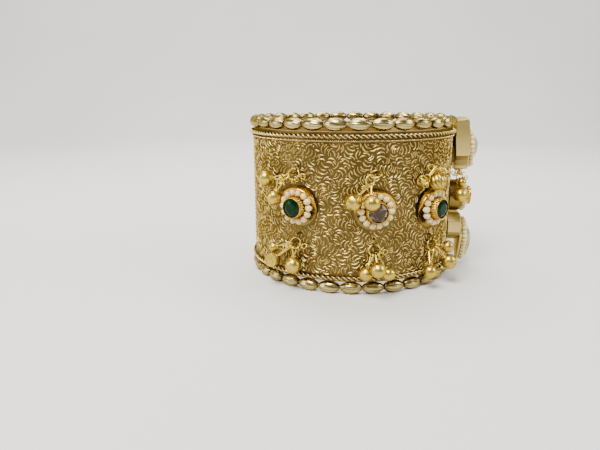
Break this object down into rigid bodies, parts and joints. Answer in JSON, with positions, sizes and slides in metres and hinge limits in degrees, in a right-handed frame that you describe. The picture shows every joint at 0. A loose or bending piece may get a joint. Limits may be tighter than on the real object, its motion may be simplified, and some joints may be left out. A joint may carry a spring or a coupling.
{
  "type": "cuff bracelet",
  "caption": "Wide brass cuff bracelet: a chased sheet ring with beaded rims, twisted edge wires, pearl flowers round faceted stones, hanging bell charms and raised box settings.",
  "frame": {"origin": "centre of the wrist opening, at the middle of the band's height", "axes": "+Z along the axis of the wrist opening, up as the bracelet stands on its bottom rim; +X towards the box settings; the picture looks along about +Y"},
  "size_m": [0.072, 0.0796, 0.0486],
  "materials": {
    "band_brass": "satin, chased all over, aged",
    "edge_wire": "satin",
    "rim_bead": "satin, fluted, aged",
    "core_wire": "polished",
    "flower_setting": "polished",
    "green_stone": "faceted, backed",
    "clear_stone": "faceted, backed",
    "pale_stone": "domed, backed",
    "pearl": "pearl",
    "box": "polished, plain",
    "charm": "polished"
  },
  "bodies": {
    "root": {"band": "band_brass", "top_rope": "edge_wire", "bottom_rope": "edge_wire", "top_fine_wire": "edge_wire", "front_seam_rope": "edge_wire", "back_seam_rope": "edge_wire", "top_beads": "rim_bead", "bottom_beads": "rim_bead", "top_bead_wire": "core_wire", "bottom_bead_wire": "core_wire", "pearl_threads": "core_wire", "flower_1_setting": "flower_setting", "flower_2_setting": "flower_setting", "flower_3_setting": "flower_setting", "flower_4_setting": "flower_setting", "flower_5_setting": "flower_setting", "flower_6_setting": "flower_setting", "flower_7_setting": "flower_setting", "flower_1_stone": "green_stone", "flower_2_stone": "clear_stone", "flower_3_stone": "green_stone", "flower_4_stone": "green_stone", "flower_5_stone": "green_stone", "flower_6_stone": "clear_stone", "flower_7_stone": "green_stone", "flower_1_pearls": "pearl", "flower_2_pearls": "pearl", "flower_3_pearls": "pearl", "flower_4_pearls": "pearl", "flower_5_pearls": "pearl", "flower_6_pearls": "pearl", "flower_7_pearls": "pearl", "upper_box": "box", "upper_box_stone": "pale_stone", "upper_box_pearls": "pearl", "lower_box": "box", "lower_box_stone": "pale_stone", "lower_box_pearls": "pearl", "charms_1_upper": "charm", "charms_1_lower": "charm", "charms_2_upper": "charm", "charms_2_lower": "charm", "charms_3_upper": "charm", "charms_3_lower": "charm", "charms_5_upper": "charm", "charms_5_lower": "charm", "charms_6_upper": "charm", "charms_6_lower": "charm", "charms_7_upper": "charm", "charms_7_lower": "charm", "charms_front": "charm"}
  },
  "joints": []
}
